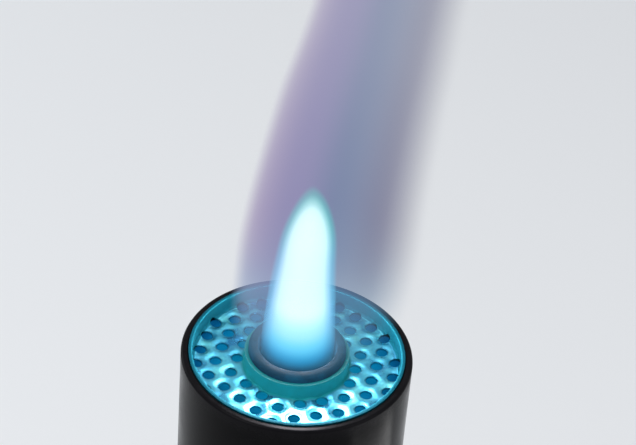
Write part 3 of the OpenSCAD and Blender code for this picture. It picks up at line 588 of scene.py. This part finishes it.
def hole_centres():
    """The triangular grid's points; the outermost are drawn in as the edge is turned up."""
    reach = math.ceil(RIM_R / HOLE_PITCH) + 1
    found = []
    for i in range(-2 * reach, 2 * reach + 1):
        for j in range(-2 * reach, 2 * reach + 1):
            point = Vector((i + j / 2, j * math.sin(math.radians(60)))) * HOLE_PITCH
            if point.length < FIRST_HOLE_R or point.length > LAST_HOLE_R:
                continue
            if point.length > WALL_R - HOLE_R:
                point -= point.normalized() * EDGE_DRAW
            found.append(point)
    return found


HOLES = hole_centres()


def circle(radius, count, centre=Vector((0, 0)), first=0.0):
    """Points round a centre, from the angle first on."""
    angles = [first + i * math.tau / count for i in range(count)]
    return [centre + Vector((math.cos(a), math.sin(a))) * radius for a in angles]


def bridge(mesh, low, high):
    """Faces between two rings of as many corners."""
    for i in range(len(low)):
        j = (i + 1) % len(low)
        mesh.faces.new([low[i], low[j], high[j], high[i]])


def from_hole(point):
    """Distance from the nearest hole's edge; less than 0 inside the hole."""
    return min((point - hole).length for hole in HOLES) - HOLE_R


def dip(point):
    """How deep the sheet is dished: less where the shell's shelf carries it."""
    deep = sum(
        math.exp(-((max((point - hole).length - HOLE_R, 0.0) / DIP_WIDTH) ** 2))
        for hole in HOLES
        if (point - hole).length < HOLE_PITCH
    )
    shelf = (point.length - SHELF_R + SHELF_LEAD) / SHELF_FADE
    shelf = min(max(shelf, 0.0), SHELF_HOLD)
    return HOLE_DIP * min(deep, DIP_SUM) * (1 - shelf)


def pressed(point):
    """Where a point of the flat blank goes when the sheet is dished and its edge turned up."""
    warp = noise.noise(Vector((point.x, point.y, 0)) / WARP_SIZE) * WARP_DEPTH
    out = point.length - FLOOR_OUT_R
    if out <= 0:
        return (point.x, point.y, PLATE_Z + warp - dip(point))
    turn = min(out / BEND_R, math.pi / 2)
    sunk = dip(point) * math.cos(turn)
    radius = FLOOR_OUT_R + BEND_R * math.sin(turn) + sunk * math.sin(turn)
    level = PLATE_Z + BEND_R * (1 - math.cos(turn)) + max(0.0, out - BEND_LENGTH)
    flat = point.normalized() * radius
    return (flat.x, flat.y, level + warp * math.cos(turn) - sunk * math.cos(turn))


def loose_points():
    """The blank's points between its outlines: along the bend, round each hole, and a fill."""

    def on_floor(point, clear):
        return FLOOR_IN_R + clear < point.length < FLOOR_OUT_R - clear

    points = []
    for out in BEND_RINGS:
        ring = circle(FLOOR_OUT_R + out * MM, ROUND_STEPS)
        points += [p for p in ring if from_hole(p) > BEND_CLEAR]
    for hole in HOLES:
        for turn, out in enumerate(DISH_RINGS):
            first = (turn % 2) * math.pi / HOLE_STEPS
            ring = circle(HOLE_R + out * MM, HOLE_STEPS, hole, first)
            points += [p for p in ring
                       if on_floor(p, LOOP_CLEAR) and from_hole(p) > out * MM - RING_SLACK]
    reach = int(FLOOR_OUT_R / FILL_STEP) + 2
    for i in range(-reach, reach + 1):
        for j in range(-reach, reach + 1):
            point = Vector((i + (j % 2) / 2, j * FILL_ROW)) * FILL_STEP
            if on_floor(point, LOOP_CLEAR * 2) and from_hole(point) > FILL_CLEAR:
                points.append(point)
    return points


def pressed_sheet(mesh, shade):
    """Adds the floor and the turned-up edge; gives the corners round the neck's opening."""
    points, edges = [], []
    outlines = [circle(FLOOR_IN_R, ROUND_STEPS), circle(BLANK_R, ROUND_STEPS)]
    for loop in outlines + [circle(HOLE_R, HOLE_STEPS, hole) for hole in HOLES]:
        first, count = len(points), len(loop)
        edges += [(first + i, first + (i + 1) % count) for i in range(count)]
        points += loop
    points += loose_points()
    flat, _, triangles, came_from, _, _ = delaunay_2d_cdt(
        [p / MM for p in points], edges, [], 0, SAME_POINT
    )
    verts, number = [], {}
    for index, point in enumerate(flat):
        place = Vector(point) * MM
        vert = mesh.verts.new(pressed(place))
        vert[shade] = max(0.0, from_hole(place)) / CREST
        verts.append(vert)
        for source in came_from[index]:
            number[source] = index
    for triangle in triangles:
        middle = sum((Vector(flat[i]) for i in triangle), Vector((0, 0))) * MM / 3
        if FLOOR_IN_R < middle.length < BLANK_R and from_hole(middle) > -HOLE_SLACK:
            mesh.faces.new([verts[i] for i in triangle])
    return [verts[number[i]] for i in range(ROUND_STEPS)]


def drawn_neck(mesh, shade, before):
    """Carries the sheet up round the barrel from the opening's corners."""
    profile = [
        (NECK_R + NECK_FLARE * (1 - math.sin(a)) * FLARE_SHARE,
         PLATE_Z + NECK_FLARE * (1 - math.cos(a)) + NECK_FOOT)
        for a in map(math.radians, NECK_ANGLES)
    ] + [(NECK_R, PLATE_Z + NECK_RISE * part) for part in NECK_LEVELS]
    for radius, level in profile:
        ring = []
        for old in before:
            around = math.atan2(old.co.y, old.co.x)
            vert = mesh.verts.new((radius * math.cos(around), radius * math.sin(around), level))
            vert[shade] = 1.0
            ring.append(vert)
        bridge(mesh, ring, before)
        before = ring


def pressed_plate():
    """One thin sheet, dished at every hole, with a drawn neck and an upturned edge."""
    mesh = bmesh.new()
    shade = mesh.verts.layers.float.new("from_hole")
    drawn_neck(mesh, shade, pressed_sheet(mesh, shade))
    bmesh.ops.recalc_face_normals(mesh, faces=mesh.faces)
    if sum(f.normal.z * f.calc_area() for f in mesh.faces) < 0:
        bmesh.ops.reverse_faces(mesh, faces=mesh.faces)
    plate = add_mesh("pressed_plate", mesh)
    plate.data.materials.append(FINISHES["plate_steel"])
    for face in plate.data.polygons:
        face.use_smooth = True
    thick = plate.modifiers.new("sheet", "SOLIDIFY")
    thick.thickness = SHEET
    thick.offset = -1
    edge = plate.modifiers.new("edge", "BEVEL")
    edge.width = CUT_EDGE
    edge.segments = 3
    edge.limit_method = "ANGLE"
    edge.angle_limit = math.radians(50)
    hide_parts("perforated_plate")
    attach(plate, "burner")


# ---- The flame, which is no part of the object, any more than the bench is

# Densities per metre: the pilots' go from one to the other in patches
CORE_DENSITY = 1100
MANTLE_DENSITY = 125
PILOT_DENSITY = (1400, 5000)
PILOT_GAP = 0.03 * MM
PILOT_STEPS = 20
FLAME_STEPS = 64
# How strongly flame_light glows, low down and high up
LIGHT_STRENGTH = (70, 10)


class Gas(Nodes):
    """A glowing gas: as far as it is thick, it hides what is behind it and glows in its place."""

    def __init__(self, name):
        super().__init__(name)
        self.tree.nodes.remove(self.tree.nodes["Principled BSDF"])

    def fill(self, colour, density, gain=1.0):
        """Finishes the gas, which glows gain times as brightly as it would fill with colour."""
        black = (0, 0, 0, 1)
        soak = self.node("ShaderNodeVolumeAbsorption", {"Color": black, "Density": density})
        bright = self.math("MULTIPLY", density, gain)
        glow = self.node("ShaderNodeEmission", {"Color": colour, "Strength": bright})
        both = self.node("ShaderNodeAddShader", {0: soak.outputs[0], 1: glow.outputs[0]})
        self.tree.links.new(both.outputs[0], self.tree.nodes["Material Output"].inputs["Volume"])
        return self.material

    def height(self, rings):
        """0 at a flame's lowest ring, 1 at its highest."""
        up = self.math("SUBTRACT", self.axis("z"), RIM_Z)
        return self.spread(up, rings[0][0] * MM, rings[-1][0] * MM)

    def from_axis(self, rings):
        """How far out a place is in a flame: 0 on its leaning axis, 1 at its skin, and the
        same to the camera's right alone, from -1 to 1."""
        low, high = rings[0][0], rings[-1][0]
        sizes = []
        for k in (1, 2):
            most = max(ring[k] for ring in rings)
            stops = [((ring[0] - low) / (high - low), ring[k] / most) for ring in rings]
            share = self.curve(self.height(rings), stops, "LINEAR")
            sizes.append(self.math("MULTIPLY", share, most * MM))
        radius, lean = sizes
        side = self.math("DIVIDE", self.math("SUBTRACT", self.along(TO_RIGHT), lean), radius)
        depth = self.math("DIVIDE", self.along(AWAY), radius)
        return self.length(side, depth), side


def gas_shape(name, rings):
    """A closed skin over level rings: (height over the rim, radius, lean to the right), in mm."""
    mesh = bmesh.new()
    before = None
    for height, radius, lean in rings:
        centre = seen_from_camera(right=lean * MM, up=height * MM)
        ring = [mesh.verts.new((centre.x + p.x, centre.y + p.y, centre.z))
                for p in circle(radius * MM, FLAME_STEPS)]
        if before is None:
            mesh.faces.new(ring[::-1])
        else:
            bridge(mesh, before, ring)
        before = ring
    mesh.faces.new(before)
    return staged(name, mesh)


def staged(name, mesh):
    """A shape of the flame: it casts no shadow, and no matt surface sees it."""
    made = add_mesh(name, mesh)
    made.visible_shadow = False
    made.visible_diffuse = False
    return made


def core_gas():
    """The bright inner cone: blue and thin in the mouth, white above, green at its tip."""
    gas = Gas("flame_core")
    out, _ = gas.from_axis(CORE_RINGS)
    height = gas.height(CORE_RINGS)

    # Fuller low down, and rounded at the tip
    out = gas.math("MULTIPLY", out, gas.spread(height, 0.0, 0.55, 0.82, 1.0))
    out = gas.length(out, gas.spread(height, 0.62, 0.98))
    colour = gas.ramp(height, [
        (0.0, (0.0, 0.25, 0.55)), (0.04, (0.0, 0.45, 0.9)), (0.11, (0.13, 0.72, 1.0)),
        (0.18, (0.42, 0.85, 1.0)), (0.3, (0.75, 0.97, 1.0)), (1.0, (0.78, 1.0, 0.97)),
    ])
    halo = gas.ramp(height, [
        (0.0, (0.0, 0.3, 0.7)), (0.15, (0.12, 0.5, 0.85)), (0.5, (0.15, 0.62, 0.85)),
        (0.8, (0.05, 0.68, 0.57)), (1.0, (0.02, 0.64, 0.42)),
    ])
    colour = gas.blend(gas.spread(out, 0.6, 0.85), colour, halo)

    # Soft at its skin, thin in the mouth, and bright enough to show through the mantle
    thick = gas.curve(out, [(0.0, 1.0), (0.58, 1.0), (0.7, 0.45), (0.85, 0.17), (1.0, 0.0)])
    thick = gas.math("MULTIPLY", gas.math("MULTIPLY", thick, CORE_DENSITY),
                     gas.spread(height, 0.0, 0.07, 0.45, 1.0))
    gain = gas.math("MULTIPLY", gas.spread(height, 0.04, 0.3, 0.95, 3.1),
                    gas.spread(out, 0.6, 0.85, 1.0, 0.7))
    return gas.fill(colour, thick, gain)


def mantle_gas():
    """The pale outer flame: lavender on the left, blue-grey within, fading to the right."""
    gas = Gas("flame_mantle")
    out, side = gas.from_axis(MANTLE_RINGS)
    height = gas.height(MANTLE_RINGS)
    colour = gas.ramp(gas.spread(side, -1.0, 1.0), [
        (0.0, (0.35, 0.28, 0.47)), (0.25, (0.24, 0.22, 0.42)), (0.5, (0.12, 0.17, 0.33)),
        (0.8, (0.1, 0.1, 0.22)), (1.0, (0.07, 0.06, 0.14)),
    ])

    # Denser towards its skin, which is soft, and softer to the right
    skin = gas.spread(out, gas.spread(side, -0.2, 0.8, 0.86, 0.45), 1.0, 1.0, 0.0)
    shell = gas.math("MULTIPLY", gas.spread(out, 0.3, 0.8, 0.45, 1.0), skin)
    climb = gas.curve(height, [
        (0.0, 0.05), (0.05, 0.35), (0.1, 0.85), (0.2, 1.0), (0.6, 0.8), (1.0, 0.1),
    ])
    low_blue = (0.16, 0.48, 0.66)
    colour = gas.blend(gas.spread(height, 0.0, 0.2, 0.8, 0.0), colour, low_blue)
    thick = gas.math("MULTIPLY", gas.math("MULTIPLY", shell, climb), MANTLE_DENSITY)
    return gas.fill(colour, gas.math("MULTIPLY", thick, gas.spread(side, -0.2, 0.9, 1.0, 0.75)))


def pilot_gas():
    """The small flames in the plate's holes, dimmer towards the rim."""
    gas = Gas("pilot_flames")
    colour = gas.ramp(gas.spread(gas.radius(), 8 * MM, 13.4 * MM), [
        (0.0, (0.002, 0.22, 0.42)), (0.4, (0.002, 0.2, 0.42)), (0.75, (0.002, 0.15, 0.34)),
        (1.0, (0.001, 0.09, 0.24)),
    ])
    patch = gas.spread(gas.noise(5 * MM, 2.0), *MIDDLE, *PILOT_DENSITY)
    return gas.fill(colour, patch)


def pilot_flames():
    """A small flame within each of the plate's holes."""
    mesh = bmesh.new()
    levels = (PLATE_Z - SHEET - 0.1 * MM, PLATE_Z - 0.2 * MM)
    for hole in HOLES:
        outline = circle(HOLE_R - PILOT_GAP, PILOT_STEPS, hole)
        low, high = ([mesh.verts.new((p.x, p.y, z)) for p in outline] for z in levels)
        mesh.faces.new(low[::-1])
        mesh.faces.new(high)
        bridge(mesh, low, high)
    return staged("pilot_flames", mesh)


def flame_glow():
    """What shiny metal sees of the flame: brightest low down."""
    gas = Gas("flame_light")
    height = gas.height(LIGHT_RINGS)
    colour = gas.ramp(height, [
        (0.0, (0.95, 0.87, 0.92)), (0.4, (0.95, 0.93, 1.0)), (0.7, (0.8, 0.75, 1.0)),
    ])
    strength = gas.spread(height, 0.42, 0.62, *LIGHT_STRENGTH)
    shine = gas.node("ShaderNodeEmission", {"Color": colour, "Strength": strength})
    gas.tree.links.new(shine.outputs[0], gas.tree.nodes["Material Output"].inputs["Surface"])
    return gas.material


def make_flame():
    for shape, finish in (
        (gas_shape("flame_core", CORE_RINGS), core_gas()),
        (gas_shape("flame_mantle", MANTLE_RINGS), mantle_gas()),
        (pilot_flames(), pilot_gas()),
    ):
        shape.data.materials.append(finish)
        shape.visible_glossy = False
    light = gas_shape("flame_light", LIGHT_RINGS)
    light.data.materials.append(flame_glow())
    light.visible_camera = False


# ---- Bench, world and lights


BENCH_HALF = 3.0
BENCH_COLOUR = (0.85, 0.86, 0.87)
SKY_COLOUR = (0.94, 0.96, 1.0, 1)
SKY_LIGHT = 0.58
SKY_SEEN = 0.8
WHITE = (1, 1, 1)
COOL = (0.9, 0.97, 1.0)


def make_bench():
    """A plain pale floor."""
    data = bpy.data.meshes.new("bench")
    signs = ((-1, -1), (1, -1), (1, 1), (-1, 1))
    corners = [(x * BENCH_HALF, y * BENCH_HALF, 0) for x, y in signs]
    data.from_pydata(corners, [], [(0, 1, 2, 3)])
    bench = add_object("bench", data)
    top = Surface("bench", BENCH_COLOUR, 0.6)
    grain = top.noise(0.02, 3.0)
    top.set("Roughness", top.spread(grain, *MIDDLE, 0.55, 0.65))
    data.materials.append(top.material)


def make_world():
    """A pale room: brighter to the camera and in reflections than as a light."""
    world = bpy.data.worlds.new("studio")
    world.use_nodes = True
    bpy.context.scene.world = world
    tree = world.node_tree
    back = tree.nodes["Background"]
    back.inputs["Color"].default_value = SKY_COLOUR
    path = tree.nodes.new("ShaderNodeLightPath")
    seen = tree.nodes.new("ShaderNodeMath")
    seen.operation = "MAXIMUM"
    tree.links.new(path.outputs["Is Camera Ray"], seen.inputs[0])
    tree.links.new(path.outputs["Is Glossy Ray"], seen.inputs[1])
    strength = tree.nodes.new("ShaderNodeMapRange")
    strength.inputs["To Min"].default_value = SKY_LIGHT
    strength.inputs["To Max"].default_value = SKY_SEEN
    tree.links.new(seen.outputs[0], strength.inputs["Value"])
    tree.links.new(strength.outputs["Result"], back.inputs["Strength"])


def softbox(name, place, target, size, power, colour=WHITE, along=None):
    """A rectangular lamp at place, aimed at target, with its width along a direction."""
    data = bpy.data.lights.new(name, "AREA")
    data.shape = "RECTANGLE"
    data.size, data.size_y = size
    data.energy = power
    data.color = colour
    lamp = add_object(name, data)
    back = (place - target).normalized()
    side = along or UP.cross(back)
    side = (side - back * side.dot(back)).normalized()
    stand(lamp, place, side, back.cross(side), back)
    lamp.visible_camera = False


def make_lights():
    """Three soft lamps in the room, and a strip for the streak on the shell's right side."""
    head = Vector((0, 0, RIM_Z))
    middle = Vector((0, 0, RIM_Z / 2))
    softbox("key", seen_from_camera(-0.45, -0.35, 0.55), middle, (0.35, 0.35), 3.0)
    softbox("fill", seen_from_camera(0.6, -0.3, 0.25), middle, (0.5, 0.6), 1.4)
    softbox("back", seen_from_camera(-0.65, 0.55, 0.35), head, (0.3, 0.5), 1.2, COOL)
    on_shell = seen_from_camera(0.0105, -0.0112, -0.004)
    slant = TO_RIGHT * -0.0045 - AWAY * 0.0445 - UP * 0.0025
    softbox("strip", seen_from_camera(0.0505, -0.0095, -0.048), on_shell, (0.045, 0.008), 0.0032,
            along=slant)


make_camera()
finish_nodes()
pressed_plate()
make_flame()
make_bench()
make_world()
make_lights()
